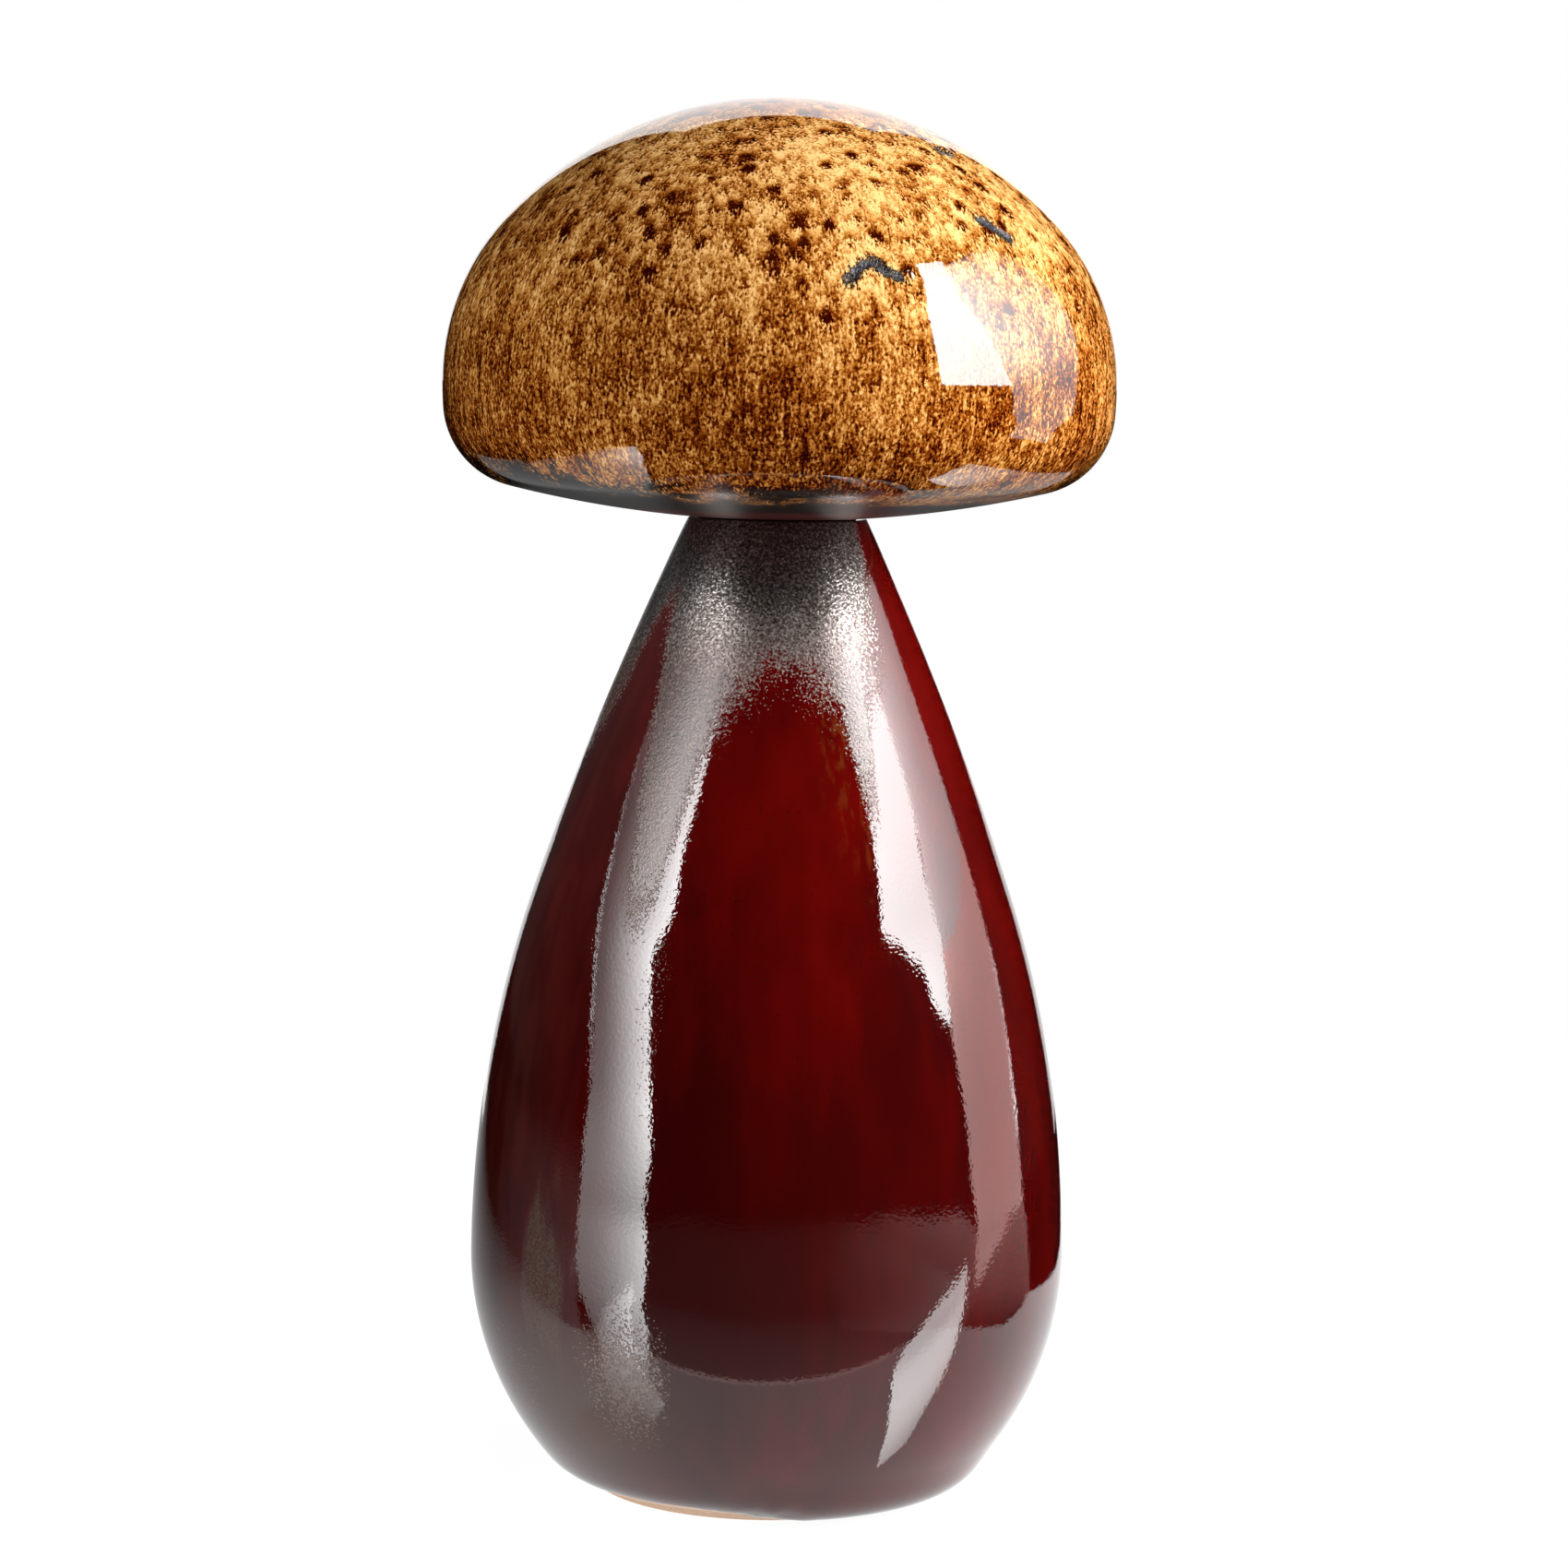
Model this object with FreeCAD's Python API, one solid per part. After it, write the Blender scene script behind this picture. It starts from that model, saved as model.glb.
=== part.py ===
import FreeCAD, Part
import math
import os

# A ceramic mushroom ornament, 320 mm tall, slip cast in two stoneware pieces.
# The stem is a hollow pear on a low bare foot ring. It ends in a flat shoulder with
# an open spigot, through which the spare slip was poured out of the mould.
# The cap is a hollow dome with a round hole in its underside. It rests on a soft ring
# that lies in the shoulder, turns on the spigot and lifts straight off.
# The origin is the middle of the foot, on the surface that the ornament stands on.
# All sizes are in millimetres, and every outline is drawn as radius and height.

# Stem, outside
stem_height = 224.3  # foot to shoulder
belly_radius = 68.8  # at the widest line
belly_height = 54.6  # foot to the widest line
neck_radius = 20.5  # at the shoulder
foot_radius = 39.7  # outer edge of the ring that it stands on
foot_height = 2.1  # bare wall of the foot, below the edge of the glaze
foot_flare = 0.7  # how far that wall leans out
glaze_lip = 0.6  # thickness of the glaze where it stops above the foot
foot_land = 7.2  # width of the ring
foot_recess = 3.0  # hollow under the base
foot_round = 0.4  # both edges of the ring
recess_round = 1.5  # corner inside the ring

# From the widest line up to the neck, and down to the foot, the skin is two tangent
# arcs. The first arc's radius is a share of that of one arc over the whole way, and
# it ends at a share of the height.
flank_radius_share = 0.82
flank_join_share = 0.49
belly_radius_share = 1.14
belly_join_share = 0.9

# Stem, wall and shoulder
stem_wall = 5.0
floor_thickness = 5.5
throat_angle = 45.0  # of the cone that narrows the hollow to the bore
throat_roof = 4.0  # clay between that cone's top and the seat of the ring
shoulder_width = 6.5  # neck edge to spigot
shoulder_land = 2.2  # the part of the shoulder outside the ring
shoulder_round = 0.5
spigot_height = 13.0
spigot_wall = 4.5
spigot_draft = 0.5  # how much the spigot narrows to its top
spigot_round = 1.2

# Ring between stem and cap
ring_thickness = 1.6
ring_clearance = 0.3  # beside the spigot, and inside the shoulder's land
seat_gap = 0.3  # clay to clay, outside the ring

# Cap
cap_radius = 77.0  # at the widest line
cap_rise = 64.9  # widest line to the top
cap_drop = 30.5  # seat to the widest line
brow_share = 0.852  # of the rise: radius of the arc above the widest line
side_share = 1.29  # of the cap's radius: radius of the arc below the widest line
rim_share = 0.64  # of the drop: radius of the turn under the rim
underside_radius = 267.0  # of the shallow bowl that the underside is
cap_wall = 5.0
hole_clearance = 1.0  # beside the spigot
hole_round = 1.0

overrun = 1.0  # how far a cutting tool runs past the face that it cuts
edge_search = 0.02  # how near to its stated place an edge that is rounded lies

# Heights and radii that follow
spigot_radius = neck_radius - shoulder_width
bore_radius = spigot_radius - spigot_wall
spigot_top = stem_height + spigot_height
seat_height = stem_height + seat_gap
ring_floor = seat_height - ring_thickness
ring_seat_radius = neck_radius - shoulder_land
recess_radius = foot_radius - foot_land
hole_radius = spigot_radius + hole_clearance
cap_middle = seat_height + cap_drop
cap_top = cap_middle + cap_rise


def spot(radius, height):
    return FreeCAD.Vector(radius, 0, height)


def line(start, end):
    return Part.LineSegment(start, end).toShape()


def lines(places):
    return [line(start, end) for start, end in zip(places, places[1:])]


def inset(centre, place, depth):
    """The spot that lies depth under a place on an arc, towards the arc's centre."""
    return place - (place - centre).normalize() * depth


def arc(centre, start, end, depth):
    """The arc from start to end, or the concentric one that lies depth under it."""
    first, last = inset(centre, start, depth), inset(centre, end, depth)
    halfway = ((first - centre) + (last - centre)).normalize()
    return Part.Arc(first, centre + halfway * (first - centre).Length, last).toShape()


def turned(edges):
    """The solid that a closed outline sweeps out about the upright axis."""
    face = Part.Face(Part.Wire(edges))
    return face.revolve(spot(0, 0), FreeCAD.Vector(0, 0, 1), 360)


def closed_on_axis(skin):
    """A skin's edges, with flat ends that run in to the axis."""
    first, last = skin[0].firstVertex().Point, skin[-1].lastVertex().Point
    axis_first, axis_last = spot(0, first.z), spot(0, last.z)
    outline = [*skin, line(last, axis_last), line(axis_last, axis_first)]
    return outline if first.isEqual(axis_first, edge_search) else [*outline, line(axis_first, first)]


def drum(radius, bottom, top, top_radius=None):
    """A round block between two heights, straight or tapered."""
    if top_radius is None:
        return Part.makeCylinder(radius, top - bottom, spot(0, bottom))
    return Part.makeCone(radius, top_radius, top - bottom, spot(0, bottom))


def rims(solid):
    """The solid's round edges."""
    edges = [edge for edge in solid.Edges if not edge.Degenerated]
    return [edge for edge in edges if isinstance(edge.Curve, Part.Circle)]


def rounded(solid, radius, places):
    """Rounds the edges that run round the axis through the given places."""
    picked = [rim for rim in rims(solid) for place in places
              if spot(rim.Curve.Radius, rim.Curve.Center.z).isEqual(place, edge_search)]
    return solid.makeFillet(radius, picked)


def two_arcs(widest, end, radius_share, join_share):
    """Centres of two tangent arcs from the widest line to end, and their meeting point."""
    inwards, upwards = widest.x - end.x, end.z - widest.z
    first_radius = (inwards**2 + upwards**2) / (2 * inwards) * radius_share
    first_centre = spot(widest.x - first_radius, widest.z)
    rise = upwards * join_share
    join = first_centre + spot(math.sqrt(first_radius**2 - rise**2), rise)
    # The second centre is in line with the first and the join, and as far from the
    # join as from end.
    way = (first_centre - join).normalize()
    chord = end - join
    second_centre = join + way * (chord.dot(chord) / (2 * chord.dot(way)))
    return first_centre, second_centre, join


def stem_skin(depth=0):
    """The stem's side from the glaze's edge up to the neck, or a surface under it."""
    glaze_edge = spot(foot_radius + foot_flare + glaze_lip, foot_height)
    widest = spot(belly_radius, belly_height)
    neck = spot(neck_radius, stem_height)
    low, foot, low_join = two_arcs(widest, glaze_edge, belly_radius_share, belly_join_share)
    mid, high, high_join = two_arcs(widest, neck, flank_radius_share, flank_join_share)
    return [
        arc(foot, glaze_edge, low_join, depth),
        arc(low, low_join, widest, depth),
        arc(mid, widest, high_join, depth),
        arc(high, high_join, neck, depth),
    ]


def stem_blank():
    """The stem in solid clay, with its foot, shoulder, ring seat and spigot."""
    skin = stem_skin()
    foot = lines([
        spot(recess_radius, foot_recess),
        spot(recess_radius, 0),
        spot(foot_radius, 0),
        spot(foot_radius + foot_flare, foot_height),
        skin[0].firstVertex().Point,
    ])
    top = lines([
        spot(neck_radius, stem_height),
        spot(ring_seat_radius, stem_height),
        spot(ring_seat_radius, ring_floor),
        spot(spigot_radius, ring_floor),
        spot(spigot_radius - spigot_draft, spigot_top),
    ])
    return turned(closed_on_axis([*foot, *skin, *top]))


def stem_hollow():
    """What the slip left open: under the skin, above the floor, narrowing to the bore."""
    throat_top = ring_floor - throat_roof
    cone_height = (belly_radius - bore_radius) / math.tan(math.radians(throat_angle))
    cone_bottom = throat_top - cone_height
    room = drum(belly_radius, foot_recess + floor_thickness, cone_bottom)
    room = room.fuse(drum(belly_radius, cone_bottom, throat_top, bore_radius))
    hollow = turned(closed_on_axis(stem_skin(stem_wall))).common(room)
    return hollow.fuse(drum(bore_radius, cone_bottom, spigot_top + overrun))


def make_stem():
    stem = stem_blank().cut(stem_hollow()).removeSplitter()
    stem = rounded(stem, foot_round, [spot(foot_radius, 0), spot(recess_radius, 0)])
    stem = rounded(stem, recess_round, [spot(recess_radius, foot_recess)])
    stem = rounded(stem, shoulder_round, [spot(neck_radius, stem_height)])
    spigot_edges = [spot(spigot_radius - spigot_draft, spigot_top), spot(bore_radius, spigot_top)]
    return rounded(stem, spigot_round, spigot_edges)


def make_ring():
    """The soft ring, which fills its seat and stands proud of the shoulder."""
    outside = drum(ring_seat_radius - ring_clearance, ring_floor, seat_height)
    return outside.cut(drum(spigot_radius + ring_clearance, ring_floor, seat_height))


def cap_skin(depth=0):
    """The cap from its top round the rim to the edge of its seat, or a surface under it."""
    top, widest = spot(0, cap_top), spot(cap_radius, cap_middle)
    seat_edge = spot(neck_radius, seat_height)
    # The crown's centre is on the axis, and the crown runs into the brow.
    brow_radius = cap_rise * brow_share
    brow = spot(cap_radius - brow_radius, cap_middle)
    crown_radius = (brow.x**2 + cap_rise**2 - brow_radius**2) / (2 * (cap_rise - brow_radius))
    crown = top - spot(0, crown_radius)
    crown_join = inset(crown, brow, -brow_radius)
    # The underside is a bowl through the edge of the seat. The rim's turn runs into
    # the side above it and the bowl below.
    side_radius, rim_radius = cap_radius * side_share, cap_drop * rim_share
    side = spot(cap_radius - side_radius, cap_middle)
    bowl = spot(0, seat_height + math.sqrt(underside_radius**2 - neck_radius**2))
    rim = crossing(side, side_radius - rim_radius, bowl, underside_radius - rim_radius)
    side_join, bowl_join = inset(side, rim, -rim_radius), inset(bowl, rim, -rim_radius)
    return [
        arc(crown, top, crown_join, depth),
        arc(brow, crown_join, widest, depth),
        arc(side, widest, side_join, depth),
        arc(rim, side_join, bowl_join, depth),
        arc(bowl, bowl_join, seat_edge, depth),
    ]


def crossing(centre_a, radius_a, centre_b, radius_b):
    """The point further from the axis of the two where a pair of circles cross."""
    gap = centre_b - centre_a
    along = (radius_a**2 - radius_b**2 + gap.Length**2) / (2 * gap.Length)
    aside = math.sqrt(radius_a**2 - along**2)
    gap.normalize()
    across = FreeCAD.Vector(-gap.z, 0, gap.x) * aside
    ends = [centre_a + gap * along + across, centre_a + gap * along - across]
    return max(ends, key=lambda end: end.x)


def make_cap():
    cap = turned(closed_on_axis(cap_skin())).cut(turned(closed_on_axis(cap_skin(cap_wall))))
    hole_top = seat_height + cap_wall
    cap = cap.cut(drum(hole_radius, seat_height - overrun, hole_top + overrun)).removeSplitter()
    hole_rims = [rim for rim in rims(cap) if abs(rim.Curve.Radius - hole_radius) < edge_search]
    return cap.makeFillet(hole_round, hole_rims)


os.makedirs("parts", exist_ok=True)
pieces = {"stem": make_stem(), "seat_ring": make_ring(), "cap": make_cap()}
for name, shape in pieces.items():
    shape.exportStep("parts/" + name + ".step")
    print(name, len(shape.Solids), "solid, volume", round(shape.Volume), "valid", shape.isValid())
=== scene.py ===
import math

import bpy
from mathutils import Matrix, Vector


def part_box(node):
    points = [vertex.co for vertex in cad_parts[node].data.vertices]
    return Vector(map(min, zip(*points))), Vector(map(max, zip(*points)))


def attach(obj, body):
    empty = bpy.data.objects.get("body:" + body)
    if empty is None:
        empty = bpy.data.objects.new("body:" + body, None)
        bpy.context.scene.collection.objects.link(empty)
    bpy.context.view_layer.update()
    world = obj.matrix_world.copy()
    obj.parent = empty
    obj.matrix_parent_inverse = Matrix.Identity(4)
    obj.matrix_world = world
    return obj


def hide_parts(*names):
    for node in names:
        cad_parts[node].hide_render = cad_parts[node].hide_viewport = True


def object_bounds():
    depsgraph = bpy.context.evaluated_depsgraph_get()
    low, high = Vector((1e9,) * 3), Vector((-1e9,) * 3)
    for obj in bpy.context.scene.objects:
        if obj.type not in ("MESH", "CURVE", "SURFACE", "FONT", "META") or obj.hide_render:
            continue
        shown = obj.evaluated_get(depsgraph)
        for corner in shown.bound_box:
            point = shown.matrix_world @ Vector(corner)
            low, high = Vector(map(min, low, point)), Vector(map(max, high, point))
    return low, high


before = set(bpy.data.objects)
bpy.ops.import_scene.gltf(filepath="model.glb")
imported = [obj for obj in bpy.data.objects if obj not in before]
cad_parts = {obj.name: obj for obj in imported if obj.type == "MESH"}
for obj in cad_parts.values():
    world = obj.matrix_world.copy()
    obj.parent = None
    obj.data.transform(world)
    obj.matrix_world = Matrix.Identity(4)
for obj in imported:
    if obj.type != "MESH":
        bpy.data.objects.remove(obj)  # bodies, nodes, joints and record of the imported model
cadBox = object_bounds()
mm = 0.001
print("frame loaded:", ", ".join(sorted(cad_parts)))


# Helpers for node trees. A value is a number or the output of a node, and a new node goes into the
# tree that its values come from.

def plug(socket, value):
    if isinstance(value, bpy.types.NodeSocket):
        socket.id_data.links.new(value, socket)
    else:
        socket.default_value = value


def treeOf(values):
    return next(value.id_data for value in values if isinstance(value, bpy.types.NodeSocket))


def addNode(kind, inputs, tree=None, **settings):
    # the outputs of a new node; it needs a tree only if none of its inputs has one
    node = (tree or treeOf(inputs.values())).nodes.new(kind)
    for name, value in settings.items():
        setattr(node, name, value)
    for name, value in inputs.items():
        plug(node.inputs[name], value)
    return node.outputs


def calc(operation, *values):
    return addNode("ShaderNodeMath", dict(enumerate(values)), operation=operation)[0]


def calcVector(operation, *values):
    return addNode("ShaderNodeVectorMath", dict(enumerate(values)), operation=operation)[0]


def measure(operation, *values):
    # a number taken from vectors, such as a length or a distance
    return addNode("ShaderNodeVectorMath", dict(enumerate(values)), operation=operation)["Value"]


def scaled(vector, factor):
    return addNode("ShaderNodeVectorMath", {0: vector, "Scale": factor}, operation="SCALE")[0]


def total(first, *others):
    for value in others:
        first = calc("ADD", first, value)
    return first


def product(first, *others):
    for value in others:
        first = calc("MULTIPLY", first, value)
    return first


def minus(first, second):
    return calc("SUBTRACT", first, second)


def swing(value, span):
    # a noise moved to lie about zero, half a span either way
    return product(minus(value, 0.5), span)


def rise(value, low, high, toLow=0.0, toHigh=1.0):
    # a smooth step from toLow to toHigh as the value goes from low to high
    inputs = {"Value": value, "From Min": low, "From Max": high, "To Min": toLow, "To Max": toHigh}
    return addNode("ShaderNodeMapRange", inputs, interpolation_type="SMOOTHSTEP")[0]


def mixColour(share, first, second):
    return addNode("ShaderNodeMix", {0: share, 6: first, 7: second}, data_type="RGBA")[2]


def noise(place, grain, detail=2.0, roughness=0.5):
    # grain is the size of the noise's lumps, in metres
    inputs = {"Vector": place, "Scale": 1 / grain, "Detail": detail, "Roughness": roughness}
    return addNode("ShaderNodeTexNoise", inputs)[0]


def cells(place, size, feature="F1"):
    inputs = {"Vector": place, "Scale": 1 / size, "Randomness": 1.0}
    return addNode("ShaderNodeTexVoronoi", inputs, feature=feature)


def ramp(factor, positions, colours):
    colour = addNode("ShaderNodeValToRGB", {0: factor})[0]
    stops = colour.node.color_ramp.elements
    for index, (position, shade) in enumerate(zip(positions, colours)):
        stop = stops[index] if index < 2 else stops.new(position)
        stop.position, stop.color = position, (*shade, 1)
    return colour


def bend(value, places):
    # a smooth curve through given places, both ways from 0 to 1
    bent = addNode("ShaderNodeFloatCurve", {"Value": value})[0]
    points = bent.node.mapping.curves[0].points
    for index, place in enumerate(places):
        if index < 2:
            points[index].location = place
        else:
            points.new(*place)
    bent.node.mapping.update()
    return bent


def split(vector):
    return addNode("ShaderNodeSeparateXYZ", {0: vector})


def joined(*parts):
    return addNode("ShaderNodeCombineXYZ", dict(enumerate(parts)))[0]


def stretched(place, upright):
    return calcVector("MULTIPLY", place, (1.0, 1.0, upright))


def newMaterial(name):
    material = bpy.data.materials.new(name)
    material.use_nodes = True
    material.node_tree.nodes.clear()
    return material, material.node_tree


def whereOn(tree):
    # the place on the piece, its height in mm, and its angle round the axis: 0 in front, 90 on the right
    place = tree.nodes.new("ShaderNodeTexCoord").outputs["Object"]
    parts = split(place)
    turn = calc("ARCTAN2", parts[0], product(parts[1], -1.0))
    return place, calc("DIVIDE", parts[2], mm), calc("DEGREES", turn)


def finishSurface(colour, roughness, bump, ior, metallic=0.0):
    # bump is a height in millimetres
    normal = addNode("ShaderNodeBump", {"Height": bump, "Distance": mm, "Strength": 1.0})[0]
    inputs = {"Base Color": colour, "Roughness": roughness, "IOR": ior, "Metallic": metallic,
              "Normal": normal}
    addNode("ShaderNodeOutputMaterial", {"Surface": addNode("ShaderNodeBsdfPrincipled", inputs)[0]})


# Outlines, as radius and height, drawn as the clay was turned

def angleOf(centre, place):
    return math.atan2(place.y - centre.y, place.x - centre.x)


def arc(centre, start, end, steps, depth=0.0):
    # from start to end about centre, depth inside that line
    radius = (start - centre).length - depth
    first, last = angleOf(centre, start), angleOf(centre, end)
    last += round((first - last) / math.tau) * math.tau
    turns = [first + (last - first) * step / steps for step in range(steps + 1)]
    return [centre + Vector((math.cos(turn), math.sin(turn))) * radius for turn in turns]


def twoArcs(widest, end, radiusShare, joinShare):
    # centres of two tangent arcs from the widest line to end, and where they meet
    inwards, upwards = widest.x - end.x, end.y - widest.y
    firstRadius = (inwards**2 + upwards**2) / (2 * inwards) * radiusShare
    firstCentre = Vector((widest.x - firstRadius, widest.y))
    climb = upwards * joinShare
    join = firstCentre + Vector((math.sqrt(firstRadius**2 - climb**2), climb))
    way = (firstCentre - join).normalized()
    chord = end - join
    return firstCentre, join + way * (chord.dot(chord) / (2 * chord.dot(way))), join


def crossing(centreA, radiusA, centreB, radiusB):
    # where two circles cross, further from the axis
    gap = centreB - centreA
    along = (radiusA**2 - radiusB**2 + gap.length**2) / (2 * gap.length)
    aside = math.sqrt(radiusA**2 - along**2)
    way = gap.normalized()
    across = Vector((-way.y, way.x)) * aside
    return max((centreA + way * along + across, centreA + way * along - across), key=lambda spot: spot.x)


def corner(before, place, after, radius, steps=4):
    # a rounded corner between two straight neighbours
    toBefore, toAfter = (before - place).normalized(), (after - place).normalized()
    half = toBefore.angle(toAfter) / 2
    reach = radius / math.tan(half)
    centre = place + (toBefore + toAfter).normalized() * (radius / math.sin(half))
    return arc(centre, place + toBefore * reach, place + toAfter * reach, steps)


def outline(places):
    # places are (spot, corner radius or 0, bare clay or not); returns the spots and their bareness
    spots, bare = [], []
    for index, (place, radius, isBare) in enumerate(places):
        rounded = [place]
        if radius:
            rounded = corner(places[index - 1][0], place, places[(index + 1) % len(places)][0], radius)
        spots += rounded
        bare += [float(isBare)] * len(rounded)
    return spots, bare


def skinPlaces(spots, bare=False):
    return [(spot, 0, bare) for spot in spots]


# The tree that turns an outline into a piece

marks = {
    "reach": 1.5 * mm,  # half the width of a crawl mark
    "depth": 0.40 * mm,  # how deep the glaze lies open there
    "lip": 0.10 * mm,  # the rolled edge of the glaze round it
    "ragged": 1.6 * mm,  # how far its edge wanders
    "grain": 2.4 * mm,  # and how finely
    "span": 8.0 * mm,  # how far from a mark the shader can still tell the distance
}
turning = {
    "weld": 0.5e-6,  # spots nearer than this, in metres, become one
    "clayFrom": 0.6,  # faces at least this bare are clay
    "warpGrain": 62 * mm,
    "rippleGrain": 13 * mm,
    "noiseTop": 0.72,  # taken off both noises, so that they move the skin inwards rather than out
    "fadeIn": 12 * mm,  # they grow over this height above what stays still,
    "fadeOut": 14 * mm,  # and shrink over this below it
    "footSide": (-0.82, -0.57, 0.0),  # the side where the glaze ends highest
    "footShare": (0.30, 0.80),
    "footGrain": 7 * mm,
    "footFray": 0.35,
    "footFade": 6.0,  # the pull is gone at this many heights of the glaze's edge
    "footInside": 33.5 * mm,  # and nothing nearer to the axis moves
}


def attribute(tree, name):
    return addNode("GeometryNodeInputNamedAttribute", {"Name": name}, tree, data_type="FLOAT")[0]


def store(geometry, name, value):
    inputs = {"Geometry": geometry, "Name": name, "Value": value}
    return addNode("GeometryNodeStoreNamedAttribute", inputs, data_type="FLOAT", domain="POINT")[0]


def sampled(geometry, value, index, kind):
    inputs = {0: geometry, "Value": value, "Index": index}
    return addNode("GeometryNodeSampleIndex", inputs, data_type=kind)[0]


def footSink(here, height, footHigh, footLow):
    # the glaze ends unevenly above the foot: high in front on the left, almost down to the floor elsewhere
    level = stretched(here, 0.0)
    around = measure("DOT_PRODUCT", calcVector("NORMALIZE", level), turning["footSide"])
    ragged = swing(noise(here, turning["footGrain"]), turning["footFray"])
    share = rise(total(around, ragged), *turning["footShare"])
    edge = total(footLow, product(share, minus(footHigh, footLow)))
    drop = minus(edge, footHigh)
    fade = rise(height, footHigh, product(footHigh, turning["footFade"]), 1.0, 0.0)
    under = calc("MINIMUM", calc("DIVIDE", height, calc("MAXIMUM", footHigh, 1e-6)), 1.0)
    outside = calc("GREATER_THAN", measure("LENGTH", level), turning["footInside"])
    return product(drop, product(fade, under), outside)


def turnedPieceTree():
    tree = bpy.data.node_groups.new("turnedPiece", "GeometryNodeTree")
    sockets = tree.interface
    sockets.new_socket("Geometry", in_out="INPUT", socket_type="NodeSocketGeometry")
    for name, kind in (("Around", "Int"), ("Closed", "Bool"), ("Warp", "Float"), ("Ripple", "Float"),
                       ("Seed", "Float"), ("Still Below", "Float"), ("Still Above", "Float"),
                       ("Foot Height", "Float"), ("Foot Low", "Float"), ("Marks", "Object"),
                       ("Glaze", "Material"), ("Clay", "Material")):
        sockets.new_socket(name, in_out="INPUT", socket_type="NodeSocket" + kind)
    sockets.new_socket("Geometry", in_out="OUTPUT", socket_type="NodeSocketGeometry")
    given = tree.nodes.new("NodeGroupInput").outputs
    line = given["Geometry"]
    here = tree.nodes.new("GeometryNodeInputPosition").outputs[0]
    bare = attribute(tree, "bare")

    # A grid with one row for each spot of the outline, wrapped round the axis
    rows = addNode("GeometryNodeAttributeDomainSize", {0: line})["Point Count"]
    rowCount = total(rows, given["Closed"])
    size = {"Vertices X": total(given["Around"], 1), "Vertices Y": rowCount}
    grid = addNode("GeometryNodeMeshGrid", size)["Mesh"]
    index = tree.nodes.new("GeometryNodeInputIndex").outputs[0]
    row = calc("MODULO", calc("MODULO", index, rowCount), rows)
    column = calc("FLOOR", calc("DIVIDE", index, rowCount))
    turn = product(calc("DIVIDE", column, given["Around"]), math.tau)
    parts = split(sampled(line, here, row, "FLOAT_VECTOR"))
    place = joined(product(parts[0], calc("SINE", turn)),
                   product(parts[0], calc("COSINE", turn), -1.0), parts[2])
    wrapped = addNode("GeometryNodeSetPosition", {"Geometry": grid, "Position": place})[0]
    wrapped = store(wrapped, "bare", sampled(line, bare, row, "FLOAT"))
    shell = addNode("GeometryNodeMergeByDistance", {"Geometry": wrapped, "Distance": turning["weld"]})[0]

    # Kiln warp, ripples in the glaze and crawl marks, all along the surface's own normal
    height = split(here)[2]
    seeded = calcVector("ADD", here, joined(given["Seed"], given["Seed"], 0.0))
    low, high = given["Still Below"], given["Still Above"]
    loose = product(rise(height, low, total(low, turning["fadeIn"])),
                    rise(height, minus(high, turning["fadeOut"]), high, 1.0, 0.0))
    warp = minus(noise(seeded, turning["warpGrain"], 1.0), turning["noiseTop"])
    ripple = minus(noise(seeded, turning["rippleGrain"]), turning["noiseTop"])
    move = total(product(warp, given["Warp"]), product(ripple, given["Ripple"]))
    move = product(move, loose)
    lines = addNode("GeometryNodeObjectInfo", {"Object": given["Marks"]})["Geometry"]
    near = addNode("GeometryNodeProximity", {0: lines}, target_element="EDGES")
    isMarked = near["Is Valid"]
    reach = marks["reach"]
    ragged = swing(noise(here, marks["grain"], 3.0, 0.6), marks["ragged"])
    away = total(near["Distance"], ragged)
    dent = product(isMarked, rise(away, 0.3 * reach, reach, 1.0, 0.0), marks["depth"])
    lip = product(rise(away, 0.8 * reach, 1.2 * reach),
                  rise(away, 1.2 * reach, 2 * reach, 1.0, 0.0), isMarked, marks["lip"])
    closeness = calc("MAXIMUM", 0.0, minus(1.0, calc("DIVIDE", away, marks["span"])))
    move = total(move, minus(lip, dent))
    move = product(move, minus(1.0, bare))
    sink = footSink(here, height, given["Foot Height"], given["Foot Low"])
    normal = tree.nodes.new("GeometryNodeInputNormal").outputs[0]
    offset = calcVector("ADD", scaled(normal, move), joined(0.0, 0.0, sink))
    uneven = addNode("GeometryNodeSetPosition", {"Geometry": shell, "Offset": offset})[0]
    marked = store(uneven, "crawl", product(isMarked, closeness))
    smooth = addNode("GeometryNodeSetShadeSmooth", {"Geometry": marked})[0]

    # Clay where the outline is bare, glaze elsewhere
    isClay = calc("GREATER_THAN", bare, turning["clayFrom"])
    solid = addNode("GeometryNodeRealizeInstances", {0: smooth})[0]
    glazed = addNode("GeometryNodeSetMaterial", {"Geometry": solid, "Material": given["Glaze"]})[0]
    both = {"Geometry": glazed, "Selection": isClay, "Material": given["Clay"]}
    both = addNode("GeometryNodeSetMaterial", both)[0]
    addNode("NodeGroupOutput", {0: both})
    return tree


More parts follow.
